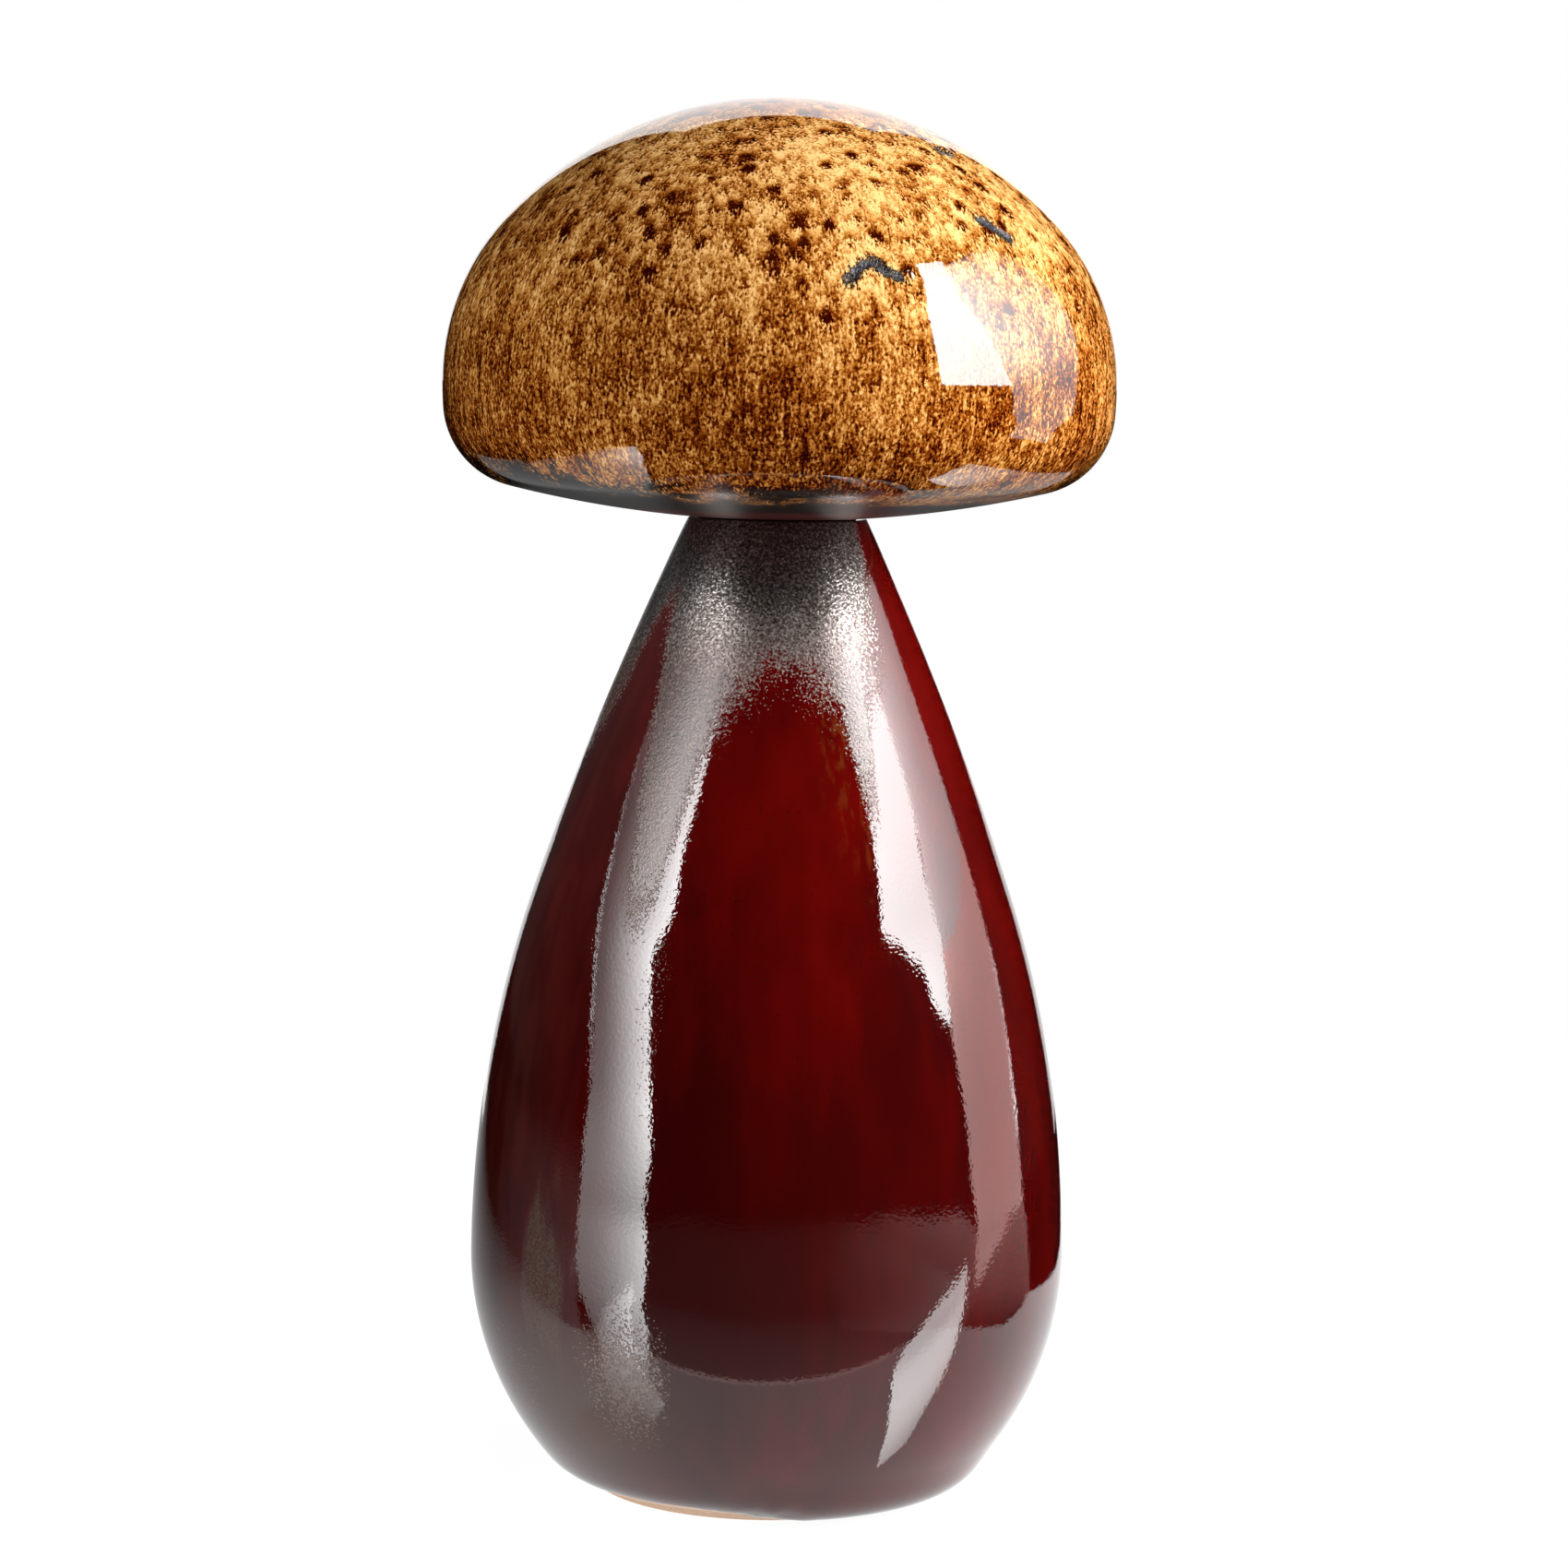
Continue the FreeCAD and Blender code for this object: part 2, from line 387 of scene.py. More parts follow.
def turnedPiece(name, spots, bare, inputs):
    # the outline becomes a line of edges, the tree turns it, and the result is kept as a plain mesh;
    # an input that is left out is zero, false or empty
    line = bpy.data.meshes.new(name + "Outline")
    edges = [(index, index + 1) for index in range(len(spots) - 1)]
    line.from_pydata([(spot.x, 0, spot.y) for spot in spots], edges, [])
    line.attributes.new("bare", "FLOAT", "POINT").data.foreach_set("value", bare)
    piece = bpy.data.objects.new(name, line)
    bpy.context.scene.collection.objects.link(piece)
    modifier = piece.modifiers.new("turned", "NODES")
    modifier.node_group = turnedTree
    for socket in turnedTree.interface.items_tree:
        if socket.in_out == "INPUT" and socket.name in inputs:
            modifier[socket.identifier] = inputs[socket.name]
    graph = bpy.context.evaluated_depsgraph_get()
    shown = piece.evaluated_get(graph)
    mesh = bpy.data.meshes.new_from_object(shown, preserve_all_data_layers=True, depsgraph=graph)
    piece.modifiers.remove(modifier)
    piece.data = mesh
    mesh.name = name
    print(name, "turned:", sum(len(face.vertices) - 2 for face in mesh.polygons), "triangles")
    return piece


turnedTree = turnedPieceTree()


# Clay that shows at the foot, in the seat and inside

clayLook = {
    "colours": ((0.62, 0.41, 0.27, 1), (0.78, 0.57, 0.42, 1)),  # the dark and the light of the body
    "grog": (0.45, 0.25, 0.14, 1),  # coarse grains in it
    "clouds": 6 * mm,
    "grain": 0.5 * mm,
    "roughness": (0.76, 0.90),
    "relief": (0.06, 0.006),  # of grains and turning rings, in mm
    "rings": 7.0,  # radians of them in each mm of height
}


def makeClay():
    material, tree = newMaterial("bareClay")
    place, height = whereOn(tree)[:2]
    cloud = noise(place, clayLook["clouds"], 4.0, 0.6)
    grain = noise(place, clayLook["grain"])
    colour = mixColour(cloud, *clayLook["colours"])
    colour = mixColour(rise(grain, 0.62, 0.70, 0.0, 0.6), colour, clayLook["grog"])
    rings = calc("SINE", product(height, clayLook["rings"]))
    grainRelief, ringRelief = clayLook["relief"]
    bump = total(product(grain, grainRelief), product(rings, ringRelief))
    finishSurface(colour, rise(cloud, 0.2, 0.8, *clayLook["roughness"]), bump, 1.5)
    return material


# Stem

stemLow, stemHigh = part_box("stem")
stem = {
    "belly": Vector((stemHigh.x, 54.6 * mm)),  # the widest line
    "neck": Vector((20.5 * mm, 224.3 * mm)),  # edge of the shoulder
    "glazeEdge": Vector((41.0 * mm, 2.1 * mm)),
    "footRadius": 39.7 * mm,
    "footFlare": 0.7 * mm,
    "footLand": 7.2 * mm,
    "footRecess": 3.0 * mm,
    "flankShares": (0.82, 0.49),  # radius and join of the arcs above the belly
    "bellyShares": (1.14, 0.9),  # and below it
    "wall": 5.0 * mm,
    "floor": 5.5 * mm,
    "throatRoof": 4.0 * mm,
    "ringSeat": 18.3 * mm,
    "ringFloor": 223.0 * mm,
    "spigot": 14.0 * mm,
    "spigotDraft": 0.5 * mm,
    "bore": 9.5 * mm,
    "around": 368,  # columns of the mesh
    "warp": 0.42 * mm,
    "ripple": 0.045 * mm,
    # Height of the lower edge of the gunmetal glaze, as (angle, mm) round the neck
    "lustreEdge": ((-180, 190), (-120, 178), (-95, 180), (-78, 178), (-66, 190), (-56, 206), (-48, 197),
                   (-42, 176), (-37, 150), (-32, 138), (-27, 152), (-22, 171), (-18, 185), (-12, 190),
                   (0, 193), (10, 192), (18, 188), (24, 178), (27.5, 163), (30, 166), (33, 190), (44, 199),
                   (52, 214), (60, 228), (75, 240), (110, 240), (140, 205), (180, 190)),
    "wander": 24.0,  # how far that edge drifts, in mm,
    "scatter": 44.0,  # how far its grains stray,
    "blend": 2.5,  # and how softly each grain ends
    # Grains of the same lower down, as (angle, height, half width in degrees, half height, how dense)
    "lustrePatches": ((-28, 36, 8, 14, 4), (-25, 118, 5, 46, -8), (-58, 30, 14, 22, -6),
                      (150, 60, 14, 30, 9)),
    "grain": 0.58 * mm,
    "clouds": 11 * mm,
    "streaks": 5.5 * mm,
    "broad": 34 * mm,
    "redStops": (0.30, 0.50, 0.66),
    "reds": ((0.036, 0.0009, 0.0009), (0.066, 0.0010, 0.0007), (0.098, 0.0014, 0.0008)),
    "amber": (0.110, 0.020, 0.004, 1),
    "amberAngle": 21.0,
    "lustreStops": (0.38, 0.52, 0.70),
    "lustres": ((0.020, 0.0064, 0.0052), (0.086, 0.0385, 0.0300), (0.235, 0.150, 0.120)),
    "steels": ((0.045, 0.037, 0.034), (0.230, 0.205, 0.190), (0.700, 0.680, 0.660)),
    "steelFrom": (185, 212),  # it turns to bright metal between these heights
    "metallic": 0.92,
    "olive": (0.085, 0.058, 0.040, 1),
    "olivePatch": ((-45.5, 58), (8, 24)),  # middle and half sizes, in degrees and mm
    "oliveHaze": ((-48, 26), (42, 30)),
    "wiped": (0.74, 0.52, 0.39, 1),
    "wipedAngle": -60.0,
    "wipedHeight": 4.0,
    "roughness": {"red": 0.035, "lustre": 0.21, "olive": 0.25, "wiped": 0.6},  # the last three are added
    "relief": {"peel": 0.018, "pits": 0.09},  # in mm
    "ior": 1.6,
}


def stemSkin(depth, steps):
    # from the edge of the glaze up to the neck
    foot, widest, neck = stem["glazeEdge"], stem["belly"], stem["neck"]
    low, footCentre, lowJoin = twoArcs(widest, foot, *stem["bellyShares"])
    mid, high, highJoin = twoArcs(widest, neck, *stem["flankShares"])
    first, second, third, fourth = steps
    spots = arc(footCentre, foot, lowJoin, first, depth)
    spots += arc(low, lowJoin, widest, second, depth)[1:]
    spots += arc(mid, widest, highJoin, third, depth)[1:]
    return spots + arc(high, highJoin, neck, fourth, depth)[1:]


def stemOutline():
    landInside = stem["footRadius"] - stem["footLand"]
    floorTop = stem["footRecess"] + stem["floor"]
    throatTop = stem["ringFloor"] - stem["throatRoof"]
    spigotTop = stemHigh.z
    skin = stemSkin(0.0, (8, 42, 70, 70))
    inside = [spot for spot in reversed(stemSkin(stem["wall"], (2, 6, 9, 9)))
              if spot.y > floorTop and spot.x < stem["bore"] + (throatTop - spot.y)]
    places = [
        (Vector((0, stem["footRecess"])), 0, True),
        (Vector((landInside, stem["footRecess"])), 1.5 * mm, True),
        (Vector((landInside, 0)), 0.4 * mm, True),
        (Vector((stem["footRadius"], 0)), 0.4 * mm, True),
        (Vector((stem["footRadius"] + stem["footFlare"], stem["glazeEdge"].y)), 0, True),
        *skinPlaces(skin[:-1]),
        (skin[-1], 0.5 * mm, False),
        (Vector((stem["ringSeat"], stem["neck"].y)), 0, True),
        (Vector((stem["ringSeat"], stem["ringFloor"])), 0, True),
        (Vector((stem["spigot"], stem["ringFloor"])), 0, True),
        (Vector((stem["spigot"] - stem["spigotDraft"], spigotTop)), 1.2 * mm, True),
        (Vector((stem["bore"], spigotTop)), 1.2 * mm, True),
        (Vector((stem["bore"], throatTop)), 0, True),
        *skinPlaces(inside, True),
        (Vector((inside[-1].x - 2 * mm, floorTop)), 0, True),
        (Vector((0, floorTop)), 0, True),
    ]
    return outline(places)


def patch(angle, height, middle, halves):
    # 1 in the middle of a patch, 0 at its edge and less beyond
    across = calc("DIVIDE", minus(angle, middle[0]), halves[0])
    along = calc("DIVIDE", minus(height, middle[1]), halves[1])
    squares = total(product(across, across), product(along, along))
    return minus(1.0, calc("SQRT", squares))


def makeStemGlaze():
    material, tree = newMaterial("oxbloodGlaze")
    place, height, angle = whereOn(tree)
    grain = noise(place, stem["grain"], 2.0, 0.6)
    clouds = noise(stretched(place, 0.4), stem["clouds"], 3.0)

    # Where the gunmetal glaze lies over the red, breaking up into grains at its edge
    tallest = max(level for at, level in stem["lustreEdge"])
    turn = rise(angle, -180, 180)
    turn.node.interpolation_type = "LINEAR"
    edge = bend(turn, [((at + 180) / 360, level / tallest) for at, level in stem["lustreEdge"]])
    above = minus(height, product(edge, tallest))
    field = total(above, swing(clouds, stem["wander"]))
    for atAngle, atHeight, halfAngle, halfHeight, dense in stem["lustrePatches"]:
        inside = patch(angle, height, (atAngle, atHeight), (halfAngle, halfHeight))
        inside = total(inside, swing(clouds, 1.4))
        spot = total(product(inside, 14.0), dense - 9.0)
        field = calc("MAXIMUM", field, calc("MINIMUM", spot, dense))
    field = total(field, swing(grain, stem["scatter"]))
    lustre = rise(field, -stem["blend"], stem["blend"])

    # The red, streaked where it ran, turning dark from the middle down and light again just above the foot,
    # and amber below the gunmetal on the right
    streaks = noise(stretched(place, 0.22), stem["streaks"])
    broad = noise(stretched(place, 0.45), stem["broad"])
    depth = total(product(streaks, 0.35), product(broad, 0.65),
                  rise(height, 70, 185, -0.20, 0.08), rise(height, 12, 45, 0.20, 0.0))
    red = ramp(depth, stem["redStops"], stem["reds"])
    specks = rise(noise(stretched(place, 0.5), 1.1 * mm), 0.66, 0.74, 0.0, 0.5)
    red = mixColour(specks, red, (*stem["reds"][0], 1))
    justBelow = product(rise(above, -46, -8), rise(above, -6, 6, 1.0, 0.0))
    aside = calc("ABSOLUTE", minus(angle, stem["amberAngle"]))
    runs = rise(noise(stretched(place, 0.15), 1.6 * mm, 3.0), 0.48, 0.70)
    fleck = product(runs, product(justBelow, rise(aside, 3, 9, 0.75, 0.0)))
    red = mixColour(fleck, red, stem["amber"])

    shade = total(product(grain, 0.85), product(clouds, 0.15))
    gunmetal, steel = (ramp(shade, stem["lustreStops"], stem[name]) for name in ("lustres", "steels"))
    bright = product(lustre, rise(height, *stem["steelFrom"]))
    colour = mixColour(lustre, red, mixColour(bright, gunmetal, steel))

    # A dull olive patch low on the left, and a faint veil of the same round it
    olive = total(patch(angle, height, *stem["olivePatch"]), swing(streaks, 1.6))
    olive = product(rise(olive, 0.05, 0.55, 0.0, 0.75), rise(grain, 0.36, 0.62, 0.35, 1.0))
    veil = product(rise(angle, -75, -25, 0.10, 0.0), rise(streaks, 0.35, 0.65, 0.3, 1.0))
    haze = rise(patch(angle, height, *stem["oliveHaze"]), 0.0, 0.7, 0.0, 0.42)
    olive = calc("MAXIMUM", calc("MAXIMUM", olive, veil), haze)
    colour = mixColour(olive, colour, stem["olive"])

    # The glaze is wiped off the foot, further up in front on the left
    facing = calc("COSINE", calc("RADIANS", minus(angle, stem["wipedAngle"])))
    facing = total(facing, swing(clouds, 0.3))
    wiped = minus(height, rise(facing, 0.38, 0.75, 0.0, stem["wipedHeight"]))
    wiped = rise(wiped, -0.2, 0.2, 1.0, 0.0)
    colour = mixColour(wiped, colour, stem["wiped"])

    rough, relief = stem["roughness"], stem["relief"]
    roughness = total(product(lustre, rough["lustre"]), rough["red"],
                      product(olive, rough["olive"]), product(wiped, rough["wiped"]))
    bump = total(product(noise(place, 0.85 * mm, 1.0), relief["peel"]),
                 product(grain, relief["pits"], lustre))
    finishSurface(colour, roughness, bump, stem["ior"], product(bright, stem["metallic"]))
    return material


def makeStem():
    spots, bare = stemOutline()
    piece = turnedPiece("stem_body", spots, bare, {
        "Around": stem["around"], "Warp": stem["warp"], "Ripple": stem["ripple"], "Seed": 0.31,
        "Still Below": 4 * mm, "Still Above": 222 * mm, "Foot Height": stem["glazeEdge"].y,
        "Foot Low": 0.3 * mm, "Glaze": makeStemGlaze(), "Clay": clay})
    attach(piece, "stem")
    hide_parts("stem")
    return piece


# Seat ring

ring = {
    "round": 0.35 * mm,  # edges of the soft ring
    "clearance": 0.3 * mm,  # beside the spigot
    # near black: painted shade, the pale silicone drawn dark because it sits in the shadow under the cap
    "colour": (0.020, 0.018, 0.018, 1),
    "dust": (0.07, 0.065, 0.06, 1),
    "roughness": (0.42, 0.62),
    "relief": 0.02,  # in mm
    "around": 160,
}


def makeRubber():
    material, tree = newMaterial("ringSilicone")
    place = whereOn(tree)[0]
    dust = noise(place, 2.5 * mm, 4.0, 0.65)
    # the ring's near-black colour is painted shade; the dust on it is its own
    colour = mixColour(rise(dust, 0.45, 0.75, 0.0, 0.35), ring["colour"], ring["dust"])
    roughness = rise(dust, 0.2, 0.8, *ring["roughness"])
    bump = product(noise(place, 0.4 * mm, 1.0), ring["relief"])
    finishSurface(colour, roughness, bump, 1.42)
    return material


def makeRing():
    low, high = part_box("seat_ring")
    outside, inside = high.x, stem["spigot"] + ring["clearance"]
    corners = ((inside, low.z), (outside, low.z), (outside, high.z), (inside, high.z))
    spots, bare = outline([(Vector(place), ring["round"], False) for place in corners])
    rubber = makeRubber()
    piece = turnedPiece("seat_washer", spots, bare, {
        "Around": ring["around"], "Closed": True, "Still Above": 1.0, "Glaze": rubber, "Clay": rubber})
    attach(piece, "seat_ring")
    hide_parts("seat_ring")


# Cap

capLow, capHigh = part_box("cap")
cap = {
    "top": Vector((0, capHigh.z)),
    "widest": Vector((capHigh.x, 255.1 * mm)),
    "seatEdge": Vector((20.5 * mm, capLow.z)),
    "browShare": 0.852,
    "sideShare": 1.29,
    "rimShare": 0.64,
    "bowlRadius": 267 * mm,
    "wall": 5.0 * mm,
    "hole": 15.0 * mm,
    "mouthRound": 1.0 * mm,
    "around": 468,
    "warp": 0.30 * mm,
    "ripple": 0.018 * mm,
    # Crawl marks, as lines of (angle, height in mm)
    "crawls": (
        ((11.9, 277.6), (13.6, 280.4), (15.8, 281.8), (18.6, 279.6), (20.6, 278.4)),
        ((42.6, 291.6), (44.6, 290.4), (46.4, 288.9), (48.2, 287.6)),
        ((50.6, 307.2), (53.0, 306.6)),
        ((-132, 288.0), (-127, 290.5), (-121, 288.5)),
        ((154, 270.0), (158, 273.5), (163, 272.0)),
    ),
    # Dark blots in the glaze, as (angle, height, half width in mm)
    "blots": ((7.6, 269.6, 2.0), (-45.8, 288.3, 2.0), (-20.2, 290.6, 2.4), (3.0, 290.3, 2.8),
              (-9.0, 292.4, 1.8), (34.0, 302.5, 2.6), (28.0, 292.0, 2.2), (120, 280, 3.0), (-150, 292, 2.8)),
    "middle": 245 * mm,  # height from which the fur runs down all sides
    "fur": 0.58 * mm,
    "dots": 0.62 * mm,
    "tufts": 2.3 * mm,
    "strands": 1.3 * mm,
    "clumps": 6.5 * mm,
    "clouds": 27 * mm,
    "craters": 5.6 * mm,  # from one to the next
    "creases": 5.2 * mm,
    "fray": 9.0 * mm,
    "amberStops": (0.12, 0.28, 0.41, 0.54, 0.69, 0.98),
    "ambers": ((0.030, 0.0022, 0.0003), (0.105, 0.0120, 0.0007), (0.210, 0.0460, 0.0025),
               (0.390, 0.1350, 0.0190), (0.620, 0.2800, 0.0640), (0.940, 0.5700, 0.2200)),
    "rim": (0.012, 0.0045, 0.0030, 1),
    "rimTop": 227.5,  # in mm, where the dark of the rim ends on average
    "rimSpan": 4.0,
    # maroon just above the seat: a painted reflection of the red stem in the underside
    "paintedStemReflection": (0.12, 0.010, 0.008, 1),
    "scarStops": (0.40, 0.66),
    "scar": ((0.005, 0.005, 0.007), (0.042, 0.044, 0.062)),
    "roughness": {"glaze": 0.03, "scar": 0.30, "under": 0.40},  # the last two are added
    "relief": {"peel": 0.007, "scar": 0.16},  # in mm
    "ior": 1.6,
}


def capCentres():
    top, widest, seatEdge = cap["top"], cap["widest"], cap["seatEdge"]
    capRise, drop = top.y - widest.y, widest.y - seatEdge.y
    browRadius = capRise * cap["browShare"]
    brow = widest - Vector((browRadius, 0))
    crownRadius = (brow.x**2 + capRise**2 - browRadius**2) / (2 * (capRise - browRadius))
    crown = top - Vector((0, crownRadius))
    sideRadius, rimRadius = widest.x * cap["sideShare"], drop * cap["rimShare"]
    side = widest - Vector((sideRadius, 0))
    bowl = Vector((0, seatEdge.y + math.sqrt(cap["bowlRadius"]**2 - seatEdge.x**2)))
    rim = crossing(side, sideRadius - rimRadius, bowl, cap["bowlRadius"] - rimRadius)
    joins = (brow + (brow - crown).normalized() * browRadius, rim + (rim - side).normalized() * rimRadius,
             rim + (rim - bowl).normalized() * rimRadius)
    return (crown, brow, side, rim, bowl), joins


def capSkin(depth, steps):
    # from the top over the brow and round the rim to the edge of the seat
    centres, (crownJoin, sideJoin, bowlJoin) = capCentres()
    stops = [cap["top"], crownJoin, cap["widest"], sideJoin, bowlJoin, cap["seatEdge"]]
    spots = [arc(centres[0], stops[0], stops[1], 1, depth)[0]]
    for centre, start, end, count in zip(centres, stops, stops[1:], steps):
        spots += arc(centre, start, end, count, depth)[1:]
    return spots


def capOutline():
    skin = capSkin(0.0, (58, 62, 10, 22, 22))
    inside = [spot for spot in reversed(capSkin(cap["wall"], (8, 8, 2, 5, 5))) if spot.x > cap["hole"]]
    inside.append(Vector((0, cap["top"].y - cap["wall"])))
    bowl = capCentres()[0][4]
    mouth = [Vector((cap["hole"], bowl.y - math.sqrt((cap["bowlRadius"] - depth)**2 - cap["hole"]**2)))
             for depth in (0.0, cap["wall"])]
    places = [*skinPlaces(skin), *((spot, cap["mouthRound"], True) for spot in mouth),
              *skinPlaces(inside, True)]
    spots, bare = outline(places)
    return spots[::-1], bare[::-1]


def capRadiusAt(height):
    skin = capSkin(0.0, (60, 60, 10, 20, 20))
    for lower, upper in zip(skin[1:], skin):
        if lower.y <= height <= upper.y:
            return lower.x + (upper.x - lower.x) * (height - lower.y) / (upper.y - lower.y)
    return skin[0].x


def onCap(angle, level):
    turn, radius = math.radians(angle), capRadiusAt(level * mm)
    return Vector((radius * math.sin(turn), -radius * math.cos(turn), level * mm))


def crawlLines():
    spots, edges = [], []
    for line in cap["crawls"]:
        edges += [(len(spots) + step, len(spots) + step + 1) for step in range(len(line) - 1)]
        spots += [onCap(angle, level) for angle, level in line]
    mesh = bpy.data.meshes.new("crawlLines")
    mesh.from_pydata(spots, edges, [])
    lines = bpy.data.objects.new("crawlLines", mesh)
    bpy.context.scene.collection.objects.link(lines)
    return lines


def makeCapGlaze():
    material, tree = newMaterial("amberGlaze")
    place, height, angle = whereOn(tree)
    onTop = rise(height, 258, 288)
    nearTop = rise(height, 292, 310)

    # Places measured along the skin: round the axis, and down from the top
    radius = cap["widest"].x
    fromMiddle = calcVector("SUBTRACT", place, (0.0, 0.0, cap["middle"]))
    sideways = calcVector("CROSS_PRODUCT", fromMiddle, (0.0, 0.0, 1.0))
    downhill = calcVector("NORMALIZE", calcVector("CROSS_PRODUCT", fromMiddle, sideways))
    level = stretched(fromMiddle, 0.0)
    run = calc("ARCTAN2", measure("LENGTH", level), split(fromMiddle)[2])
    girth = calcVector("MULTIPLY", calcVector("NORMALIZE", level), (radius, radius, 0.0))
    skin = calcVector("ADD", girth, joined(0.0, 0.0, product(run, radius)))

    # Hare's fur: fine fingers of glaze that run downhill, and everything coarser is frayed by them
    fine = noise(stretched(skin, 0.55), cap["fur"], 2.0, 0.6)
    dots = noise(place, cap["dots"], 2.0, 0.6)
    fur = total(product(fine, minus(1.0, nearTop)), product(dots, nearTop))
    frayed = calcVector("ADD", place, scaled(downhill, swing(fur, cap["fray"])))
    tufts = noise(frayed, cap["tufts"])
    clumps = noise(stretched(frayed, 0.5), cap["clumps"])
    strands = noise(stretched(skin, 0.14), cap["strands"], 2.0, 0.55)
    clouds = noise(stretched(place, 0.6), cap["clouds"])
    layers = ((fur, 1.50), (dots, 0.90), (tufts, rise(height, 255, 290, 0.50, 1.30)),
              (strands, rise(height, 262, 292, 0.65, 0.0)),
              (clumps, rise(height, 255, 290, 0.45, 0.75)), (clouds, 0.65))
    mottle = total(*(swing(layer, share) for layer, share in layers))
    # Painted light: lighter towards the top and on the right. At the crown the pattern is flattened as
    # painted sheen
    value = total(0.455, rise(height, 240, 290, 0.01, 0.18), rise(angle, 40, 75, 0.0, 0.03),
                  product(mottle, rise(height, 311, 316, 1.0, 0.30)))

    # Painted shade on the left, low on the left and at the crown, then craters on top, creases between the
    # tufts, streaks down the side, and blots at places of their own
    leftShade = product(rise(height, 236, 250, 0.09, 0.0), rise(angle, -45, -15, 1.0, 0.0))
    crater = cells(frayed, cap["craters"])
    share = rise(split(crater["Color"])[0], 0.10, 0.90, 0.12, 0.75)
    crater = product(rise(crater["Distance"], 0.08, 0.46, 1.0, -0.12), share, onTop)
    crease = cells(frayed, cap["creases"], "DISTANCE_TO_EDGE")["Distance"]
    crease = product(rise(crease, 0.0, 0.14, 0.15, 0.0), rise(height, 245, 290, 0.25, 1.0))
    trickle = noise(stretched(skin, 0.10), 1.9 * mm, 2.0, 0.6)
    trickle = product(rise(trickle, 0.56, 0.72, 0.0, 0.16), minus(1.0, onTop))
    # the first three are painted shade: on the left, low on the left, and at the crown; the rest are marks in
    # the glaze
    darkMarksAndShade = [rise(angle, -52, -22, 0.035, 0.0), leftShade, rise(height, 311, 316, 0.0, 0.12),
              crater, crease, trickle]
    for at, blotHeight, half in cap["blots"]:
        away = measure("DISTANCE", frayed, onCap(at, blotHeight))
        darkMarksAndShade.append(rise(away, 0.3 * half * mm, 1.3 * half * mm, 0.50, 0.0))
    value = minus(value, total(*darkMarksAndShade))
    colour = ramp(value, cap["amberStops"], cap["ambers"])

    # The glaze is dark where it pools round the rim and underneath; where the dark reaches higher on the left
    # in front it is painted shade
    leftRimShade = rise(calc("ABSOLUTE", total(angle, 62.0)), 22, 50, -8.0, 0.0)
    low = total(height, swing(clumps, 20.0), swing(fur, 18.0), leftRimShade, swing(clouds, 22.0))
    rimTop, rimSpan = cap["rimTop"], cap["rimSpan"]
    under = total(product(minus(height, 228.6), 4.0), rimTop)
    low = calc("MINIMUM", low, under)
    colour = mixColour(rise(low, rimTop, rimTop + rimSpan, 0.97, 0.0), colour, cap["rim"])
    # a painted reflection of the red stem, as a maroon band just above the seat
    colour = mixColour(rise(height, 226.4, 227.2, 1.0, 0.0), colour, cap["paintedStemReflection"])

    # Crawl marks: a dark edge round rough bluish slag
    crawl = addNode("ShaderNodeAttribute", {}, tree, attribute_name="crawl")["Fac"]
    away = total(product(minus(1.0, crawl), marks["span"] / mm), swing(fur, 3.6), swing(dots, 3.0))
    slag = rise(away, 0.5, 1.0, 1.0, 0.0)
    crust = noise(place, 0.55 * mm, 2.0, 0.6)
    colour = mixColour(rise(away, 1.2, 2.2, 1.0, 0.0), colour, cap["rim"])
    colour = mixColour(slag, colour, ramp(crust, cap["scarStops"], cap["scar"]))

    rough, relief = cap["roughness"], cap["relief"]
    roughness = total(product(slag, rough["scar"]),
                      rise(height, 229.0, 234.0, rough["under"], 0.0), rough["glaze"])
    bump = total(product(noise(place, 1.3 * mm, 1.0), relief["peel"]), product(crust, slag, relief["scar"]))
    finishSurface(colour, roughness, bump, cap["ior"])
    return material


def makeCap():
    lines = crawlLines()
    spots, bare = capOutline()
    piece = turnedPiece("cap_body", spots, bare, {
        "Around": cap["around"], "Warp": cap["warp"], "Ripple": cap["ripple"], "Seed": 0.77,
        "Still Below": 226 * mm, "Still Above": 1.0, "Marks": lines, "Glaze": makeCapGlaze(),
        "Clay": clay})
    bpy.data.objects.remove(lines)
    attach(piece, "cap")
    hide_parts("cap")
    return piece


clay = makeClay()
stemPiece = makeStem()
makeRing()
capPiece = makeCap()
print("pieces made")


# Camera

camera = {
    "place": (2.4 * mm, -1.0, 262 * mm),
    "downDegrees": 5.656,
    "rollDegrees": 0.89,  # the picture leans a little to the right
    "lens": 99.95,
    "sensor": 36.0,
}


def makeCamera():
    data = bpy.data.cameras.new("camera")
    data.lens, data.sensor_width = camera["lens"], camera["sensor"]
    viewer = bpy.data.objects.new("camera", data)
    viewer.location = camera["place"]
    tilt = Matrix.Rotation(math.radians(90 - camera["downDegrees"]), 3, "X")
    viewer.rotation_euler = (tilt @ Matrix.Rotation(math.radians(camera["rollDegrees"]), 3, "Z")).to_euler()
    bpy.context.scene.collection.objects.link(viewer)
    bpy.context.scene.camera = viewer


# Studio: a white table, panels that the glaze mirrors, and soft lamps

